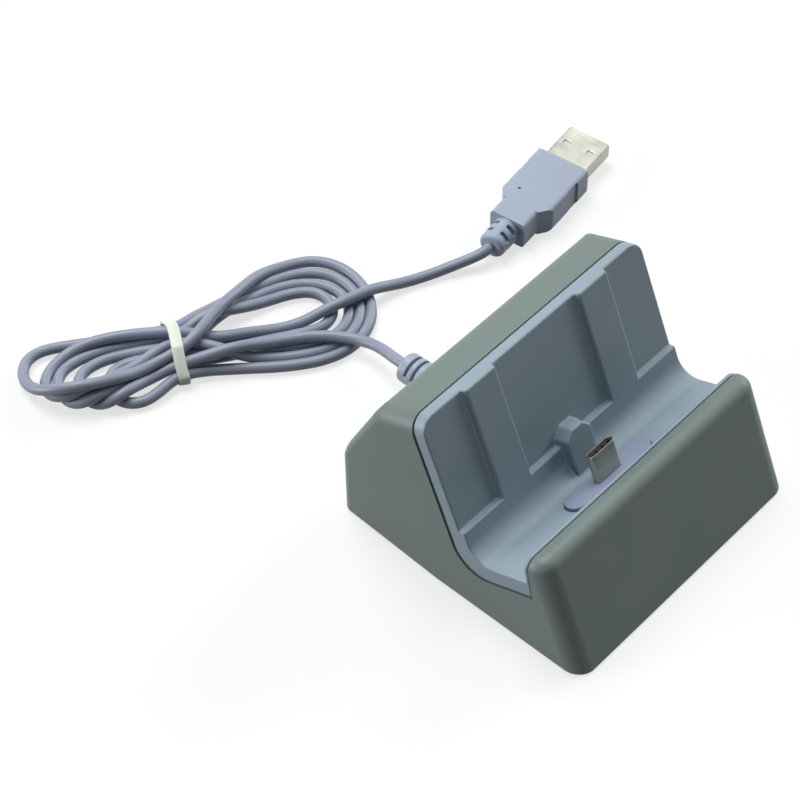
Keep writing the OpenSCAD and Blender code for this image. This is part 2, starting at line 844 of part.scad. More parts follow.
// The grip seen from above, up to where its narrow part starts
module grip_outline() {
    polygon([[0, grip_corner - grip_w / 2], [0, grip_w / 2 - grip_corner], [-grip_corner, grip_w / 2],
        [-grip_l, grip_w / 2], [-grip_l - grip_taper, tail_w / 2], [-grip_l - grip_taper, -tail_w / 2],
        [-grip_l, -grip_w / 2], [-grip_corner, -grip_w / 2]]);
}

// The grip seen from the side, with its bevelled nose
module grip_side() {
    polygon([[0, nose_h], [0, grip_h - nose_h], [-nose_l, grip_h + eps], [-2 * grip_l, grip_h + eps],
        [-2 * grip_l, -eps], [-nose_l, -eps]]);
}

module plug_grip() {
    color("#98a4b8") at_plug() difference() {
        union() {
            intersection() {
                translate([0, 0, -over]) linear_extrude(grip_h + 2 * over) grip_outline();
                along_x(4 * grip_l) grip_section(grip_w);
                along_y(-grip_w, grip_w) grip_side();
            }
            translate([-grip_l - grip_taper - tail_l / 2 + eps, 0, 0]) along_x(tail_l + 2 * eps) grip_section(tail_w);
        }
        // Finger scoops, the locating dimple and the seat of the metal shell
        for (side = [-1, 1]) translate([-scoop_x, side * grip_w / 2, grip_h / 2])
            cube([scoop_l, 2 * scoop_deep, grip_h + 2 * over], center = true);
        translate([dimple_at[0], dimple_at[1], grip_h - dimple_deep]) cylinder(over, d = dimple_d);
        translate([-shell_seat / 2, 0, plug_z]) along_x(shell_seat + 2 * eps)
            rounded_rect(shell_w, shell_h, bend_r + sheet);
    }
}

module plug_strain_relief() {
    color("#98a4b8") at_plug() translate([-grip_l_all, 0, plug_z]) rotate([0, 0, 180]) difference() {
        relief_body(plug_relief_l, plug_relief_d, plug_relief_end_d, relief_edge);
        rotate([45, 0, 0]) relief_slots(plug_relief_end_d / 2,
            [for (k = [0:1]) plug_relief_l - plug_slot_end - k * plug_slot_pitch], 4, plug_slot_arc, plug_slot_w);
    }
}

module usb_a_shell() {
    color("#cccac0") at_plug() translate([0, 0, plug_z]) difference() {
        translate([(shell_l - shell_seat) / 2, 0, 0]) along_x(shell_l + shell_seat) difference() {
            rounded_rect(shell_w, shell_h, bend_r + sheet);
            rounded_rect(shell_w - 2 * sheet, shell_h - 2 * sheet, bend_r);
        }
        for (side = [-1, 1]) translate([hole_x, side * hole_y, 0])
            cube([hole_w, hole_w, 2 * shell_h], center = true);
    }
}

module usb_a_tongue() {
    color("#e9e9e4") at_plug() translate([0, 0, plug_z]) {
        translate([tongue_l / 2, 0, tongue_z])
            cube([tongue_l, shell_w - 2 * (sheet + bend_r), tongue_t], center = true);
        translate([-shell_seat / 2, 0, 0]) along_x(shell_seat)
            rounded_rect(shell_w - 2 * sheet, shell_h - 2 * sheet, bend_r);
    }
}

module usb_a_contacts() {
    color("#d8b860") at_plug() for (y = [-contact_outer, -contact_inner, contact_inner, contact_outer])
        translate([contact_x, y, plug_z + tongue_z - (tongue_t + contact_t) / 2])
            cube([contact_l, contact_w, contact_t], center = true);
}

housing();
cradle_insert();
base_plate();
foot_front_left();
foot_front_right();
foot_rear_left();
foot_rear_right();
base_screws();
cradle_screws();
connector_carrier();
carrier_bracket();
bracket_screws();
usb_c_shell();
usb_c_insulator();
usb_c_contacts();
circuit_board();
charge_chip();
board_parts();
power_wire();
ground_wire();
data_wire_plus();
data_wire_minus();
rear_strain_relief();
cord_lead();
cord_hank();
cord_tail();
cord_tie();
plug_grip();
plug_strain_relief();
usb_a_shell();
usb_a_tongue();
usb_a_contacts();
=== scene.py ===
import json
import math

import bmesh
import bpy
from mathutils import Matrix, Vector
from mathutils.kdtree import KDTree


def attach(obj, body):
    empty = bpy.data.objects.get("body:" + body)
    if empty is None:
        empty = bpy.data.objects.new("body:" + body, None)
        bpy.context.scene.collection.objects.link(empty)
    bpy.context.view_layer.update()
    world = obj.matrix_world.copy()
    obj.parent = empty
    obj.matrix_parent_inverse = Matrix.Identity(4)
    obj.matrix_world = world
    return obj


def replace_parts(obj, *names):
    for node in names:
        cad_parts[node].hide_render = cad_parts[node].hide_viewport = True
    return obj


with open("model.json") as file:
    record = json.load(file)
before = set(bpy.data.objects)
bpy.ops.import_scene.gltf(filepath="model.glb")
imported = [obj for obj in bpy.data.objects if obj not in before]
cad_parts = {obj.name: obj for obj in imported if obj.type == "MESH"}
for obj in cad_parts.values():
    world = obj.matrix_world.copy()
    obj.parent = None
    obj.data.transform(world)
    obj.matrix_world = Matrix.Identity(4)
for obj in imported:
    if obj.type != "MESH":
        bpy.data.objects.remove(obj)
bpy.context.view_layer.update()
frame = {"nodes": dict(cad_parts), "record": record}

MM = 0.001
scene = bpy.context.scene

# Camera: where it stands and what it looks at, then its lens, in millimetres
EYE = Vector((-311.26, -231.22, 487.89)) * MM
AIM = Vector((-3.40, 47.67, 0.0)) * MM
LENS, SENSOR = 121.36, 36
ROLL = math.radians(0.07)
NEAREST = 10 * MM


def make_camera():
    camera = bpy.data.objects.new("camera", bpy.data.cameras.new("camera"))
    scene.collection.objects.link(camera)
    camera.data.lens, camera.data.sensor_width = LENS, SENSOR
    camera.data.clip_start = NEAREST
    turn = (AIM - EYE).to_track_quat("-Z", "Y").to_matrix().to_4x4()
    camera.matrix_world = Matrix.Translation(EYE) @ turn @ Matrix.Rotation(-ROLL, 4, "Z")
    scene.camera = camera


make_camera()

# The stand's own sizes, in millimetres, as in the part's source
LEAN = math.radians(23)
BODY_W, BODY_D = 74.5, 72.2
TOP_H, LIP_H, REAR_H = 50.2, 18.5, 20.0
STRIP_D, REAR_TAPER = 10.4, 1.2
CORNER_R, TOP_R, REAR_R, EDGE_R = 4.5, 4.3, 2.8, 3.0
RIM_Z, PLATE_T = 0.6, 2.0
PLATE_W, PLATE_D = BODY_W - 2 * (REAR_TAPER + 2.8), BODY_D - 5.2
CRADLE_BACK, PANEL_T, POCKET_DEEP = 5.3, 3.4, 1.5
FLOOR_H, FLOOR_T, TROUGH_W, TROUGH_R = 12.2, 4.4, 15.6, 5.0
LIP_FLARE, CRADLE_LIP_T = math.radians(12), 1.1
EXIT_Z, RELIEF_L = 8.6, 12.9
CORD_D = 2.8
PLUG_AT, PLUG_TURN, PLUG_Z = Vector((80.1, 66.4, 0)), math.radians(7), 3.9
GRIP_L_ALL, PLUG_RELIEF_L = 26.8, 7.5
TIE_W, TIE_T = 2.8, 0.8
HALF_W, HALF_D = BODY_W / 2, BODY_D / 2

# Depths across the lean (v) and heights along it, in which the housing and the cradle are drawn
FRONT_V = -(HALF_D + RIM_Z * math.tan(LEAN)) * math.cos(LEAN)
STRIP_REAR_V = STRIP_D - CRADLE_BACK
FACE_V = -(CRADLE_BACK + PANEL_T + POCKET_DEEP)
TROUGH_MID_V = -(CRADLE_BACK + PANEL_T + TROUGH_W / 2)
LIP_FOOT_V = FACE_V - TROUGH_W
UNDER_H = FLOOR_H - FLOOR_T
OUTER_R = TROUGH_R + 3

# The seams behind the cradle and in front of its lip, the base plate's play and the housing's edges
BACK_GAP, LIP_GAP, PLATE_PLAY = 0.2, 0.5, 0.4
HOUSING_EDGE = 0.35
# How far a cutter runs to each side, and up the lean
CUT_SIDE, CUT_TOP = 60, TOP_H + 20


def leant(x, v, s):
    """A point of the leaning frame (across, back, up the lean) in the upright one."""
    return Vector((x, s * math.sin(LEAN) + v * math.cos(LEAN),
        s * math.cos(LEAN) - v * math.sin(LEAN)))


ACROSS, UP_LEAN, BACK_LEAN = Vector((1, 0, 0)), leant(0, 0, 1), leant(0, 1, 0)
SLOPE = (Vector((0, HALF_D, REAR_H)) - leant(0, STRIP_REAR_V, TOP_H)).normalized()
SLOPE_OUT = Vector((0, -SLOPE.z, SLOPE.y))

# The cord's route, in metres: the stretches that aren't coiled, as in the part's source
PLUG_ALONG = Vector((math.cos(PLUG_TURN), math.sin(PLUG_TURN), 0))
PLUG_CORD = (PLUG_AT + Vector((0, 0, PLUG_Z)) - (GRIP_L_ALL + PLUG_RELIEF_L) * PLUG_ALONG) * MM
CORD_EXIT = Vector((0, HALF_D + RELIEF_L, EXIT_Z)) * MM
LEAD = [(0.0004, 0.053, 0.0079), (0.0015, 0.0572, 0.0063), (0.0022, 0.0615, 0.0045)]
TAIL = [(0.0215, 0.073, 0.0023), (0.026, 0.0706, 0.0016), (0.031, 0.0685, 0.0015),
    (0.036, 0.0666, 0.0017), (0.041, 0.064, 0.0028), (0.0436, 0.0625, 0.0036)]
# Where it lies on the bundle, after the first stretch and before the last one, in millimetres
LEAD_OVER = [(1.6, 65.2, 4.4), (-1.7, 70.6, 4.4), (-6.4, 75.4, 4.3), (-11.8, 79.4, 4.2),
    (-18, 82.9, 4.2), (-24.1, 86.3, 4.2)]
TAIL_OVER = [(-21.5, 91.2, 4.4), (-13.9, 86.9, 4.4), (-4.6, 81.8, 4.6), (2, 78.6, 5), (9, 76, 5.2),
    (15.6, 74.6, 4)]

# The bundle, in millimetres: where the tie is, how the cord runs through it, the strands' spacing
# across it and upwards, and the loops that the cord makes to its left and right
TIE_AT = Vector((-30.2, 95.4, 0))
TIE_ALONG = Vector((0.8, -0.6, 0))
TIE_ACROSS = Vector((-0.6, -0.8, 0))
SLOT, LAYER = 2.85, 2.5
LEFT_LOOPS = {
    "low_inner": [(-38, 95, 1.5), (-43, 95.6, 2.8), (-48.5, 96.7, 4.2), (-53, 98.5, 3.4),
        (-54.8, 103, 1.5), (-53, 107.4, 1.5), (-48.5, 109.3, 1.5), (-43, 107.9, 1.5),
        (-37.5, 105.4, 1.5), (-33.5, 103, 1.5)],
    "middle": [(-36.5, 97.4, 2), (-43, 97.8, 3.6), (-50, 98.2, 4.4), (-55, 100.4, 4.4),
        (-57.6, 105, 3.6), (-56.8, 110, 2.6), (-52.6, 113.2, 1.8), (-46.5, 113, 1.5),
        (-39.5, 109.8, 1.5), (-33, 105.6, 1.5)],
    "low_outer": [(-33.7, 99.3, 1.5), (-38.6, 103, 1.5), (-44.4, 104.1, 1.5), (-49.2, 102.1, 1.5),
        (-51.2, 97.5, 1.5), (-49.2, 92.8, 1.5), (-44.4, 90.8, 1.5), (-38.5, 90.4, 1.5)],
    "outermost": [(-38.4, 95.6, 5.2), (-45.1, 97.4, 6.4), (-51.4, 99.8, 7), (-56.6, 103.2, 6),
        (-60, 108, 4.4), (-61, 113, 3), (-59.6, 118, 1.8), (-56.4, 121.6, 1.5), (-52.4, 122.4, 1.5),
        (-48.6, 120.2, 1.5), (-45, 116.8, 1.5), (-41, 113.6, 1.5), (-36.4, 110.4, 1.5),
        (-31, 107, 1.5)],
    "second": [(-36.5, 98.4, 4.2), (-42, 98.6, 4.8), (-47, 98.8, 5.2), (-52.6, 100, 5.4),
        (-57.6, 102.6, 4.4), (-59.8, 107.5, 3.4), (-57.6, 113.1, 3), (-52, 115.5, 3.6),
        (-45, 114.2, 4.2), (-37.2, 110.2, 4.2)],
}
RIGHT_LOOPS = {
    "inner": [(-20, 97.4, 1.5), (-12, 97.6, 1.5), (-3, 95, 1.5), (4.5, 91.5, 1.5), (9.6, 86.5, 1.5),
        (11.6, 81, 1.5), (10.4, 75.6, 1.5), (6.4, 72.2, 1.5), (1, 71.6, 1.5), (-5, 74, 1.5),
        (-12, 79, 1.5), (-19, 85, 1.5)],
    "innermost": [(-19.5, 99.4, 1.5), (-13, 96.4, 3), (-6.3, 94.5, 1.5), (0.8, 91.8, 1.5),
        (6.5, 87.7, 1.5), (8.9, 83.3, 1.5), (8.6, 78.8, 1.5), (5.6, 75.8, 1.5), (1.6, 76, 1.5),
        (-2.5, 78, 1.5), (-9.3, 82.3, 1.5), (-17.8, 88, 1.5)],
    "outermost": [(-25.9, 84.7, 1.5), (-18.2, 78.2, 1.5), (-10.8, 71.3, 1.5), (-5.2, 68.2, 1.5),
        (-0.8, 67.2, 1.5), (4, 67.9, 1.5), (8.9, 70, 1.5), (12.8, 72.7, 1.5), (15.9, 76.3, 1.5),
        (17.5, 81.5, 1.5), (17.6, 87.7, 1.5), (15.1, 93, 1.5), (9.8, 96.6, 1.5), (1.8, 97.9, 2.4),
        (-8.5, 97, 4.2), (-19.7, 95.3, 5.2)],
    "second": [(-20, 103.2, 1.5), (-15.5, 100.8, 1.5), (-9, 99, 1.5), (-1.2, 96.5, 1.6),
        (6.7, 94.2, 1.6), (12, 90.6, 1.6), (14.6, 84.9, 1.6), (13.9, 78.8, 1.8), (10.8, 73.4, 2.2),
        (6.3, 70.1, 2.2), (1.5, 68.9, 2), (-4.3, 70.8, 1.5), (-11.6, 75.6, 1.5),
        (-19.2, 82.2, 1.5)],
}
# Each pass under the tie, in the cord's order: its place across the bundle in slots, its layer,
# and the loop after it
PASSES = [
    (1.5, 1, LEFT_LOOPS["low_inner"]), (-1, 0, RIGHT_LOOPS["inner"]),
    (1, 0, LEFT_LOOPS["middle"]), (-2, 0, RIGHT_LOOPS["innermost"]),
    (0, 0, LEFT_LOOPS["low_outer"]), (2, 0, RIGHT_LOOPS["outermost"]),
    (0.5, 1, LEFT_LOOPS["outermost"]), (-3, 0, RIGHT_LOOPS["second"]),
    (-0.5, 1, LEFT_LOOPS["second"]), (-2, 1, TAIL_OVER),
]
# Points on the cord's line are a step apart, and each pass under the tie is straight for a run
STEP, FINE_STEP, PASS_RUN = 1.2, 0.4, 3
# How the cord settles: its rounds, how hard it is held to its traced place, how far it drops, and
# how often its bends are eased
FIRST = {"rounds": 100, "hold": 0.05, "drop": 0.03, "eases": 2}
LAST = {"rounds": 200, "hold": 0.02, "drop": 0.01, "eases": 8}
# How much of an overlap, of an uneven place and of a tight bend goes in one round
PUSH, SMOOTH, EASE = 0.3, 0.5, 0.4
# How many steps to each side an uneven place and a tight bend are measured over, in turn
UNEVEN_SPANS, BEND_SPANS = (1, 2, 3), (2, 3, 4, 5)
TIGHTEST = 2.3 * CORD_D
# Points nearer than this along the cord are the same strand
SAME_STRAND = 2.2 * CORD_D
# How many points stay put at each end, how many keep their height, and how far the tie's lift goes
HELD, CARRIED, TIE_LIFTS = 3, 12, 12


def length_of(line):
    return sum((b - a).length for a, b in zip(line, line[1:]))


def smooth_through(points):
    """Points a step apart on a smooth curve through the given ones."""
    line = [points[0] * 2 - points[1]] + points + [points[-1] * 2 - points[-2]]
    fine = []
    for a, b, c, d in zip(line, line[1:], line[2:], line[3:]):
        count = max(2, round((c - b).length / FINE_STEP))
        for i in range(count):
            t = i / count
            fine.append(0.5 * ((2 * b) + (c - a) * t + (2 * a - 5 * b + 4 * c - d) * t * t
                + (3 * b - a - 3 * c + d) * t ** 3))
    fine.append(points[-1].copy())
    total = length_of(fine)
    count = round(total / STEP)
    out, walked, goal = [fine[0]], 0.0, total / count
    for p, q in zip(fine, fine[1:]):
        length = (q - p).length
        while length > 0 and walked + length >= goal - 1e-9 and len(out) < count:
            out.append(p.lerp(q, (goal - walked) / length))
            goal += total / count
        walked += length
    out.append(fine[-1])
    return out


def lift_at(p):
    """How far the tie below the bundle lifts the cord at p."""
    return TIE_T * max(0.0, 1 - abs((p - TIE_AT).dot(TIE_ALONG)) / TIE_LIFTS)


def pushed_apart(points, free):
    """Strands that lie closer than the cord's diameter, moved away from each other."""
    tree = KDTree(len(points))
    for i, p in enumerate(points):
        tree.insert(p, i)
    tree.balance()
    along = round(SAME_STRAND / STEP)
    moved = [p.copy() for p in points]
    for i in free:
        for q, j, gap in tree.find_range(points[i], CORD_D):
            if abs(i - j) > along and gap > 1e-6:
                moved[i] += (points[i] - q) / gap * (CORD_D - gap) * PUSH
    return moved


def evened(points, free, reach):
    """Each point moved towards where a smooth curve through its neighbours has it, which keeps
    loops open."""
    moved = [p.copy() for p in points]
    for i in free:
        room = min(i, len(points) - 1 - i)
        span = reach if room >= 2 * reach else 1
        near = points[i - span] + points[i + span]
        wide = points[i - 2 * span] + points[i + 2 * span]
        moved[i] = points[i].lerp((4 * near - wide) / 6, SMOOTH)
    return moved


def eased(points, free, reach):
    """Opens each bend that is tighter than the cord allows."""
    moved = [p.copy() for p in points]
    for i in free:
        if i < reach or i >= len(points) - reach:
            continue
        sag = points[i] - (points[i - reach] + points[i + reach]) / 2
        half = (points[i + reach] - points[i - reach]).length / 2
        most = TIGHTEST - math.sqrt(max(TIGHTEST ** 2 - half ** 2, 0.0))
        if sag.length > most:
            extra = sag * (1 - most / sag.length)
            moved[i] -= extra * EASE
            moved[i - reach] += extra * EASE / 2
            moved[i + reach] += extra * EASE / 2
    return moved


def settle(points):
    """Lays the cord down: strands push each other apart, bends open, and all stays on the table."""
    home = [p.copy() for p in points]
    free = range(HELD, len(points) - HELD)
    for phase in (FIRST, LAST):
        for turn in range(phase["rounds"]):
            points = pushed_apart(points, free)
            points = evened(points, free, UNEVEN_SPANS[turn % len(UNEVEN_SPANS)])
            for k in range(phase["eases"]):
                points = eased(points, free, BEND_SPANS[(turn + k) % len(BEND_SPANS)])
            for i in free:
                away = home[i] - points[i]
                points[i] += Vector((away.x, away.y, 0)) * phase["hold"]
                if CARRIED < i < len(points) - CARRIED:
                    points[i].z = max(points[i].z - phase["drop"], CORD_D / 2 + lift_at(points[i]))
            for end in range(HELD):
                points[end], points[-1 - end] = home[end].copy(), home[-1 - end].copy()
    return points


def cord_line():
    """The cord's middle from the stand's relief to the plug's, in millimetres."""
    points = [CORD_EXIT / MM] + [Vector(p) / MM for p in LEAD] + [Vector(p) for p in LEAD_OVER]
    for place, layer, loop in PASSES:
        up = Vector((0, 0, CORD_D / 2 + TIE_T + layer * LAYER))
        slot = TIE_AT + TIE_ACROSS * place * SLOT + up
        side = 1 if points[-1].dot(TIE_ALONG) > TIE_AT.dot(TIE_ALONG) else -1
        points += [slot + TIE_ALONG * side * PASS_RUN, slot - TIE_ALONG * side * PASS_RUN]
        points += [Vector(p) for p in loop]
    points += [Vector(p) / MM for p in TAIL] + [PLUG_CORD / MM]
    return settle(smooth_through(points))


def cord_curve(line):
    """The cord as a round curve along its line."""
    data = bpy.data.curves.new("cord", "CURVE")
    data.dimensions = "3D"
    data.bevel_depth = CORD_D / 2 * MM
    data.bevel_resolution = 5
    data.use_fill_caps = True
    data.resolution_u = 1
    spline = data.splines.new("POLY")
    spline.points.add(len(line) - 1)
    for point, place in zip(spline.points, line):
        point.co, point.radius = (*(place * MM), 1), 1
    spline.use_smooth = True
    piece = bpy.data.objects.new("cord", data)
    scene.collection.objects.link(piece)
    return piece


# Shader building
class Value:
    """A socket that adds and multiplies, and takes the larger of two (|), by Math nodes."""

    def __init__(self, nodes, socket):
        self.nodes, self.socket = nodes, socket

    def _math(self, operation, *terms):
        return self.nodes.node("ShaderNodeMath", {"operation": operation}, dict(enumerate(terms)))

    def __add__(self, other):
        return self._math("ADD", self, other)

    def __mul__(self, other):
        return self._math("MULTIPLY", self, other)

    def __or__(self, other):
        return self._math("MAXIMUM", self, other)

    __radd__, __rmul__, __ror__ = __add__, __mul__, __or__


class Nodes:
    """A node tree, and the one way in which nodes are added to it."""

    def __init__(self, tree):
        self.tree = tree

    def node(self, kind, settings=None, inputs=None, output=0):
        made = self.tree.nodes.new(kind)
        for key, value in (settings or {}).items():
            setattr(made, key, value)
        for key, value in (inputs or {}).items():
            if isinstance(value, Value):
                self.tree.links.new(value.socket, made.inputs[key])
            else:
                made.inputs[key].default_value = value
        return Value(self, made.outputs[output])

    def link(self, value, node, socket):
        self.tree.links.new(value.socket, self.tree.nodes[node].inputs[socket])

    def shown(self):
        """1 where the camera sees it, also in shiny metal, and 0 where it lights the object."""
        return (self.node("ShaderNodeLightPath", output="Is Camera Ray")
            | self.node("ShaderNodeLightPath", output="Is Glossy Ray"))


# A colour Mix node's own sockets among its unnamed ones
FIRST_COLOUR, SECOND_COLOUR, MIXED_COLOUR = 6, 7, 2


class Finish(Nodes):
    """One material: its shader, the places it reads and the patterns between them."""

    def __init__(self, name, **fixed):
        self.material = bpy.data.materials.new(name)
        self.material.use_nodes = True
        super().__init__(self.material.node_tree)
        self.shader = self.tree.nodes["Principled BSDF"]
        for socket, value in fixed.items():
            self.shader.inputs[socket.replace("_", " ")].default_value = value
        self.place = self.node("ShaderNodeTexCoord", output="Object")

    def feed(self, socket, value):
        self.link(value, "Principled BSDF", socket)

    def noise(self, scale, detail=3, stretch=(1, 1, 1), rough=0.5):
        place = self.node("ShaderNodeMapping", None,
            {"Vector": self.place, "Scale": stretch}, "Vector")
        return self.node("ShaderNodeTexNoise", None,
            {"Vector": place, "Scale": scale, "Detail": detail, "Roughness": rough}, "Fac")

    def spread(self, value, low, high):
        """The value stretched so that low gives 0 and high gives 1."""
        return self.node("ShaderNodeMapRange", {"clamp": True},
            {"Value": value, "From Min": low, "From Max": high}, "Result")

    def blend(self, share, first, second):
        return self.node("ShaderNodeMix", {"data_type": "RGBA"},
            {"Factor": share, FIRST_COLOUR: (*first, 1), SECOND_COLOUR: (*second, 1)}, MIXED_COLOUR)

    def bump(self, height, strength, distance, below=None):
        inputs = {"Height": height, "Strength": strength, "Distance": distance}
        if below:
            inputs["Normal"] = below
        return self.node("ShaderNodeBump", None, inputs, "Normal")


def rgb(red, green, blue):
    """A colour written as on a screen, 0 to 255, as the renderer takes it."""
    return tuple(((c / 255 + 0.055) / 1.055) ** 2.4 if c > 10 else c / 255 / 12.92
        for c in (red, green, blue))


def shade(colour, share):
    return tuple(c * share for c in colour)


def moulded(name, colour, roughness, grain, grain_depth, mottle=0.06):
    """Moulded plastic: a fine grain from the tool, a faint mottle and a slightly uneven sheen."""
    f = Finish(name, Roughness=roughness, Specular_IOR_Level=0.45)
    cloud, fine = f.noise(90, detail=4), f.noise(grain, detail=2, rough=0.6)
    f.feed("Base Color", f.blend(f.spread(cloud + fine * 0.5, low=0.4, high=1.1),
        shade(colour, 1 - mottle), shade(colour, 1 + mottle)))
    f.feed("Roughness", f.spread(cloud, low=0.3, high=0.7) * 0.1 + (roughness - 0.05))
    waves = f.bump(f.noise(260, detail=2), strength=0.12, distance=0.0001)
    f.feed("Normal", f.bump(fine, strength=0.35, distance=grain_depth, below=waves))
    return f.material


def drawn_metal(name, colour, roughness, along):
    """Drawn sheet metal: fine lines along one direction and faint smudges."""
    f = Finish(name, Metallic=1.0, Roughness=roughness)
    lines, smudge = f.noise(900, stretch=along), f.noise(160)
    f.feed("Base Color", f.blend(f.spread(smudge, low=0.35, high=0.7), shade(colour, 0.9), colour))
    uneven = f.spread(smudge + lines * 0.4, low=0.4, high=0.9)
    f.feed("Roughness", uneven * 0.16 + (roughness - 0.06))
    f.feed("Normal", f.bump(lines, strength=0.2, distance=0.00004))
    return f.material


def sheath(name, colour):
    """A cord's soft satin sheath, with the faint ripple of an extruded skin."""
    f = Finish(name, Roughness=0.42, Specular_IOR_Level=0.5)
    cloud, ripple = f.noise(120), f.noise(700, detail=2)
    f.feed("Base Color", f.blend(f.spread(cloud, low=0.35, high=0.65),
        shade(colour, 0.94), shade(colour, 1.04)))
    f.feed("Roughness", f.spread(cloud, low=0.3, high=0.7) * 0.1 + 0.37)
    f.feed("Normal", f.bump(ripple, strength=0.25, distance=0.00006))
    return f.material


GREY, BLUE_GREY = rgb(107, 121, 118), rgb(139, 157, 168)
# Moulded: name, colour, roughness, grain's scale and depth. Drawn: name, colour, roughness and the
# stretch of its lines
finishes = {
    "housing_plastic": moulded("grey_satin_grain", GREY, 0.5, 3200, 0.00007),
    "cradle_plastic": moulded("blue_grey_satin", BLUE_GREY, 0.46, 3600, 0.00004),
    "pad_plastic": moulded("lavender_grey_satin", rgb(140, 149, 172), 0.45, 3000, 0.00004),
    "base_plastic": moulded("grey_matt_grain", shade(GREY, 0.75), 0.6, 2600, 0.00008),
    "foot_rubber": moulded("soft_black_rubber", rgb(52, 52, 52), 0.8, 1800, 0.00006, 0.12),
    "screw_steel": drawn_metal("zinc_plate", rgb(176, 178, 176), 0.35, (1, 1, 0.2)),
    "bracket_plastic": moulded("dark_matt_grain", rgb(62, 64, 66), 0.6, 2600, 0.00006),
    "plug_metal": drawn_metal("drawn_steel", rgb(176, 177, 166), 0.3, (1, 0.08, 1)),
    "plug_black": moulded("matt_black", rgb(22, 22, 23), 0.6, 3000, 0.00004),
    "contact_gold": drawn_metal("gold_plate", rgb(240, 226, 196), 0.35, (1, 1, 0.2)),
    "board_green": moulded("green_resist", rgb(38, 104, 66), 0.35, 2200, 0.00003),
    "chip_black": moulded("black_epoxy", rgb(38, 38, 40), 0.55, 2600, 0.00005),
    "component_tan": moulded("tan_ceramic", rgb(170, 140, 100), 0.5, 2200, 0.00003),
    "wire_red": sheath("red_sleeve", rgb(176, 44, 40)),
    "wire_black": sheath("black_sleeve", rgb(34, 34, 36)),
    "wire_green": sheath("green_sleeve", rgb(46, 130, 74)),
    "wire_white": sheath("white_sleeve", rgb(222, 222, 216)),
    "cord_sheath": sheath("lavender_sheath", rgb(137, 145, 163)),
    "tie_white": moulded("soft_off_white", rgb(222, 226, 214), 0.45, 1600, 0.00004, 0.04),
    "grip_plastic": moulded("pale_blue_grey_satin", rgb(154, 166, 185), 0.44, 3000, 0.00004),
    "tongue_white": moulded("plain_white", rgb(206, 206, 200), 0.5, 2600, 0.00003),
}

SLOT_OF = {row["node"]: row["material_slot"] for row in frame["record"]["subparts"]}
for node, slot in SLOT_OF.items():
    for place in frame["nodes"][node].material_slots:
        place.material = finishes[slot]


def dress(piece, slot):
    """Gives a new piece the finish of its slot, and sets it on the stand's one body."""
    piece.data.materials.clear()
    piece.data.materials.append(finishes[slot])
    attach(piece, "root")
    return piece


# Faces that meet at more than this many degrees keep a sharp edge between them
SHARP, TIE_SHARP = 35, 50


def shaded(data, sharp=SHARP):
    data.shade_smooth()
    data.set_sharp_from_angle(angle=math.radians(sharp))


def piece_from(name, bm, sharp=SHARP):
    """A finished object from a bmesh in millimetres, at the origin, with its place in its mesh."""
    bmesh.ops.scale(bm, vec=Vector((MM, MM, MM)), verts=bm.verts)
    data = bpy.data.meshes.new(name)
    bm.to_mesh(data)
    bm.free()
    shaded(data, sharp)
    piece = bpy.data.objects.new(name, data)
    scene.collection.objects.link(piece)
    return piece


def worked_in(piece):
    """The piece's mesh, once its modifiers are worked into it."""
    depsgraph = bpy.context.evaluated_depsgraph_get()
    data = bpy.data.meshes.new_from_object(piece.evaluated_get(depsgraph))
    piece.modifiers.clear()
    piece.data = data
    return data


def cut_by(piece, cutter):
    knife = piece.modifiers.new("cut", "BOOLEAN")
    knife.operation, knife.object, knife.solver = "DIFFERENCE", cutter, "EXACT"
    shaded(worked_in(piece))
    bpy.data.objects.remove(cutter)


def softened(piece, width, segments=2, angle=30, clamped=True):
    """The piece with its sharp edges rounded and its large faces shaded flat."""
    edge = piece.modifiers.new("edges", "BEVEL")
    edge.width, edge.segments, edge.use_clamp_overlap = width * MM, segments, clamped
    edge.limit_method, edge.angle_limit = "ANGLE", math.radians(angle)
    shaded(worked_in(piece))
    even = piece.modifiers.new("even", "WEIGHTED_NORMAL")
    even.mode, even.weight, even.keep_sharp = "FACE_AREA", 100, True
    worked_in(piece)
    return piece


# How near a point lies to a plane, in millimetres, to count as on it
NEAR = 0.02


def on_plane(edge, normal, level):
    return all(abs(v.co.dot(normal) - level) < NEAR for v in edge.verts)


def borders(edge, normal, alike):
    """Whether a face beside the edge is less alike to the normal than this cosine."""
    return any(abs(f.normal.dot(normal)) < alike for f in edge.link_faces)


def round_edges(bm, edges, radius, segments=8):
    bmesh.ops.bevel(bm, geom=edges, offset=radius, offset_type="OFFSET", affect="EDGES",
        segments=segments, profile=0.5, material=-1, clamp_overlap=True)


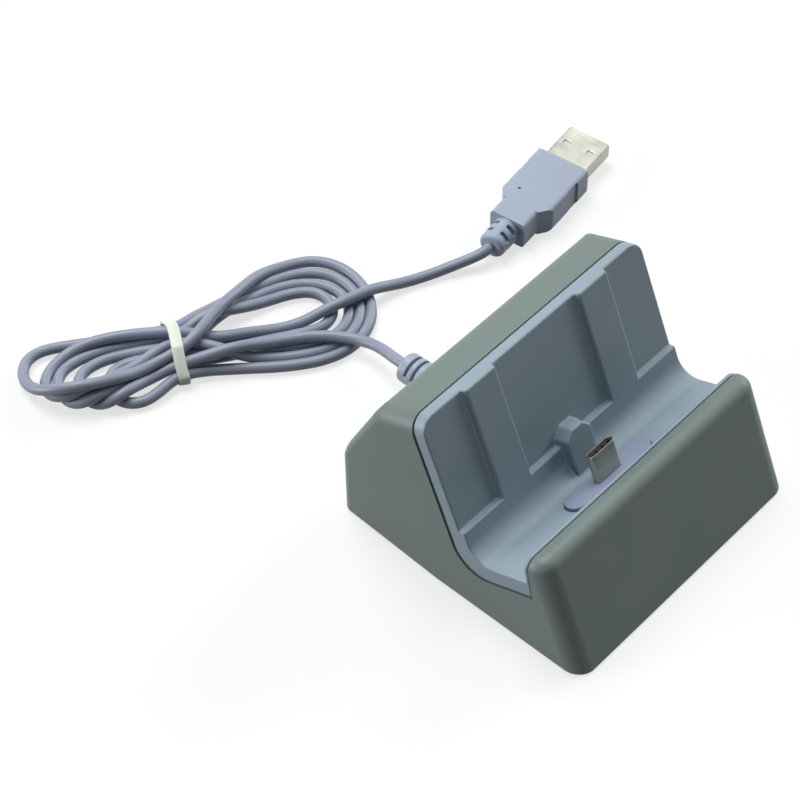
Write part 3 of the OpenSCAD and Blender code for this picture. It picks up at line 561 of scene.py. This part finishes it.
def housing_block():
    """The housing's outer form: a wedge with a lip, its corners and rims rounded."""
    taper = REAR_TAPER / (HALF_D * math.cos(LEAN) - STRIP_REAR_V)

    def end_x(p):
        return HALF_W - taper * max(0.0, p.dot(BACK_LEAN) - STRIP_REAR_V)

    crease = Vector((0, (STRIP_REAR_V + RIM_Z * math.sin(LEAN)) / math.cos(LEAN), RIM_Z))
    outline = [Vector((0, -HALF_D, RIM_Z)), leant(0, FRONT_V, LIP_H),
        leant(0, TROUGH_MID_V, LIP_H), leant(0, TROUGH_MID_V, TOP_H), leant(0, STRIP_REAR_V, TOP_H),
        Vector((0, HALF_D, REAR_H)), Vector((0, HALF_D, RIM_Z)), crease]
    bm = bmesh.new()
    left, right = ends = [[bm.verts.new((side * end_x(p), p.y, p.z)) for p in outline]
        for side in (-1, 1)]
    for verts in ends:
        bm.faces.new([verts[i] for i in (0, 1, 2, 3, 4, 7)])
        bm.faces.new([verts[i] for i in (4, 5, 6, 7)])
    for i in range(len(outline)):
        j = (i + 1) % len(outline)
        bm.faces.new([left[i], left[j], right[j], right[i]])
    bmesh.ops.recalc_face_normals(bm, faces=bm.faces)

    round_edges(bm, [bm.edges.get((verts[3], verts[4])) for verts in ends], TOP_R, 10)
    front = [e for e in bm.edges if on_plane(e, BACK_LEAN, FRONT_V)
        and any(on_plane(e, ACROSS, side * HALF_W) for side in (-1, 1))]
    round_edges(bm, front, CORNER_R, 10)
    rear = [e for e in bm.edges if on_plane(e, Vector((0, 1, 0)), HALF_D)
        and abs(e.verts[0].co.z - e.verts[1].co.z) > 1]
    round_edges(bm, rear, REAR_R)
    lip = [e for e in bm.edges if on_plane(e, UP_LEAN, LIP_H)
        and not on_plane(e, BACK_LEAN, TROUGH_MID_V) and borders(e, UP_LEAN, alike=0.9)]
    round_edges(bm, lip, EDGE_R)
    level = Vector((0, HALF_D, REAR_H)).dot(SLOPE_OUT)
    rim = [e for e in bm.edges if on_plane(e, SLOPE_OUT, level)
        and borders(e, SLOPE_OUT, alike=0.98)]
    round_edges(bm, rim, EDGE_R)
    return piece_from("housing_shell", bm)


def arc(centre, radius, start, end, count=12):
    """Points on an arc about (v, s), from one angle in degrees to another."""
    angles = [math.radians(start + (end - start) * i / count) for i in range(count + 1)]
    return [(centre[0] + radius * math.cos(a), centre[1] + radius * math.sin(a)) for a in angles]


def hollow_profile(back, low, grow, radius, top):
    """The cradle's outline, open upwards: the panel's line, a round, the floor and the lip."""
    def lip_at(h):
        return LIP_FOOT_V - (h - FLOOR_H) * math.tan(LIP_FLARE) - grow / math.cos(LIP_FLARE)

    return ([(back, top)] + arc((back - radius, low + radius), radius, 0, -90)
        + [(lip_at(low), low), (lip_at(top), top)])


def prism(points):
    """A profile given as (back, up) points of the leaning frame, drawn out across the housing."""
    bm = bmesh.new()
    face = bm.faces.new([bm.verts.new(leant(-CUT_SIDE, v, s)) for v, s in points])
    drawn = bmesh.ops.extrude_face_region(bm, geom=[face])
    bmesh.ops.translate(bm, vec=ACROSS * 2 * CUT_SIDE,
        verts=[g for g in drawn["geom"] if isinstance(g, bmesh.types.BMVert)])
    bmesh.ops.recalc_face_normals(bm, faces=bm.faces)
    return piece_from("cutter", bm)


def slab(width, depth, height, z):
    bm = bmesh.new()
    bmesh.ops.create_cube(bm, size=1,
        matrix=Matrix.Translation((0, 0, z)) @ Matrix.Diagonal((width, depth, height, 1)))
    return piece_from("cutter", bm)


def make_housing():
    shell = housing_block()
    cut_by(shell, prism(hollow_profile(BACK_GAP - CRADLE_BACK, UNDER_H - BACK_GAP,
        CRADLE_LIP_T + LIP_GAP, OUTER_R + BACK_GAP, CUT_TOP)))
    cut_by(shell, slab(PLATE_W + PLATE_PLAY, PLATE_D + PLATE_PLAY, 2 * PLATE_T, RIM_Z))
    softened(shell, HOUSING_EDGE, 3, 40)
    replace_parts(dress(shell, "housing_plastic"), "housing")


def recast(node, name, width, segments=2, angle=30, clamped=True):
    """A new piece from a CAD node's mesh, merged, with its sharp edges slightly rounded."""
    source = frame["nodes"][node]
    bm = bmesh.new()
    bm.from_mesh(source.data)
    bm.transform(source.matrix_world)
    bmesh.ops.remove_doubles(bm, verts=bm.verts, dist=2e-6)
    bmesh.ops.dissolve_limit(bm, angle_limit=math.radians(0.5), verts=bm.verts, edges=bm.edges,
        delimit={"NORMAL"})
    bmesh.ops.scale(bm, vec=Vector((1 / MM,) * 3), verts=bm.verts)
    piece = softened(piece_from(name, bm), width, segments, angle, clamped)
    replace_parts(dress(piece, SLOT_OF[node]), node)
    return piece


# The tie's section: places along the cord and out from it, as shares of its width and thickness
TIE_SECTION = ((-0.5, 0.12), (-0.42, 0), (0.42, 0), (0.5, 0.12), (0.5, 0.75), (0.4, 0.97),
    (0, 1.03), (-0.4, 0.97), (-0.5, 0.75))
TIE_SIDES, TIE_SMOOTHED, TIE_OFF = 96, 5, 0.08
# The strands it holds lie this near to its middle, and at its ends it runs askew by this much
TIE_HOLDS, TIE_HALF, TIE_SKEW = 14, 9, 0.8


def make_tie(line):
    """The closed band, drawn tight round the strands that pass under it."""
    inside = []
    for a, b in zip(line, line[1:]):
        ua, ub = (a - TIE_AT).dot(TIE_ALONG), (b - TIE_AT).dot(TIE_ALONG)
        if ua * ub <= 0 and ua != ub and abs((a - TIE_AT).dot(TIE_ACROSS)) < TIE_HOLDS:
            inside.append(a.lerp(b, ua / (ua - ub)))
    turns = [2 * math.pi * i / TIE_SIDES for i in range(TIE_SIDES)]
    outs = [TIE_ACROSS * math.cos(turn) + Vector((0, 0, math.sin(turn))) for turn in turns]
    skins = []
    for out in outs:
        far = max(inside, key=lambda p: p.dot(out))
        skins.append(far - TIE_ALONG * (far - TIE_AT).dot(TIE_ALONG) + out * (CORD_D / 2 + TIE_OFF))
    for _ in range(TIE_SMOOTHED):
        skins = [(a + 2 * b + c) / 4
            for a, b, c in zip(skins[-1:] + skins[:-1], skins, skins[1:] + skins[:1])]
    bm = bmesh.new()
    rings = []
    for out, skin in zip(outs, skins):
        skin = skin + TIE_ALONG * TIE_SKEW * ((skin - TIE_AT).dot(TIE_ACROSS) / TIE_HALF) ** 3
        rings.append([bm.verts.new(skin + TIE_ALONG * u * TIE_W + out * h * (TIE_T - TIE_OFF))
            for u, h in TIE_SECTION])
    for a, b in zip(rings, rings[1:] + rings[:1]):
        for k in range(len(a)):
            m = (k + 1) % len(a)
            bm.faces.new([a[k], a[m], b[m], b[k]])
    bmesh.ops.recalc_face_normals(bm, faces=bm.faces)
    for v in bm.verts:
        v.co.z = max(v.co.z, 0.0)
    tie = piece_from("cord_band", bm, TIE_SHARP)
    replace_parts(dress(tie, "tie_white"), "cord_tie")
    return tie


line = cord_line()
cord = dress(cord_curve(line), "cord_sheath")
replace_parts(cord, "cord_lead", "cord_hank", "cord_tail")
tie = make_tie(line)

make_housing()
# The cradle's short edges would shrink every round on it, so its rounds aren't clamped
recast("cradle_insert", "cradle", 0.5, 3, 25, clamped=False)
recast("connector_carrier", "plug_pad", 0.2)
recast("usb_c_shell", "upright_plug_shell", 0.05)
entry = recast("rear_strain_relief", "rear_relief", 0.15)
grip = recast("plug_grip", "plug_body", 0.6, 3)
relief = recast("plug_strain_relief", "plug_relief", 0.15)
metal = recast("usb_a_shell", "plug_shell", 0.1)

round(length_of(line) * MM, 3)

# Floor, backdrop and light: a light's name, where it comes from, its strength and its spread
LAMPS = (("key", (0.12, 0.42, 0.9), 2.45, 36), ("rear_left", (-0.72, 0.68, 0.2), 1.75, 30),
    ("right", (0.9, -0.1, 0.45), 1.5, 30))
# The surroundings' level on the object, and how bright the floor is to the object and to the camera
AMBIENT, FLOOR_BOUNCE, FLOOR_SHOWN = 0.07, 0.15, 0.98
# How much of the shown floor is plain white, which leaves the rest to show the shadow
FLOOR_WHITE, FLOOR_SIZE = 0.7, 1500


def make_floor():
    f = Finish("pale_floor", Roughness=0.9, Specular_IOR_Level=0.1)
    shown = f.shown()
    f.feed("Base Color", f.blend(shown, (FLOOR_BOUNCE,) * 3, (FLOOR_SHOWN,) * 3))
    white = f.node("ShaderNodeEmission", None,
        {"Color": (1, 1, 1, 1), "Strength": 1.0}, "Emission")
    mixed = f.node("ShaderNodeMixShader", None,
        {0: shown * FLOOR_WHITE, 1: Value(f, f.shader.outputs[0]), 2: white})
    f.link(mixed, "Material Output", "Surface")
    bm = bmesh.new()
    bmesh.ops.create_grid(bm, x_segments=1, y_segments=1, size=FLOOR_SIZE)
    floor = piece_from("floor", bm)
    floor.data.materials.append(f.material)


def make_backdrop():
    scene.world = bpy.data.worlds.new("studio")
    scene.world.use_nodes = True
    sky = Nodes(scene.world.node_tree)
    sky.tree.nodes["Background"].inputs["Color"].default_value = (1, 1, 1, 1)
    sky.link(sky.shown() * (1 - AMBIENT) + AMBIENT, "Background", "Strength")


def make_lamps():
    for name, towards, strength, spread in LAMPS:
        lamp = bpy.data.objects.new(name, bpy.data.lights.new(name, "SUN"))
        scene.collection.objects.link(lamp)
        lamp.data.energy, lamp.data.angle = strength, math.radians(spread)
        lamp.matrix_world = Vector(towards).to_track_quat("Z", "Y").to_matrix().to_4x4()


make_floor()
make_backdrop()
make_lamps()
scene.view_settings.view_transform = "Standard"
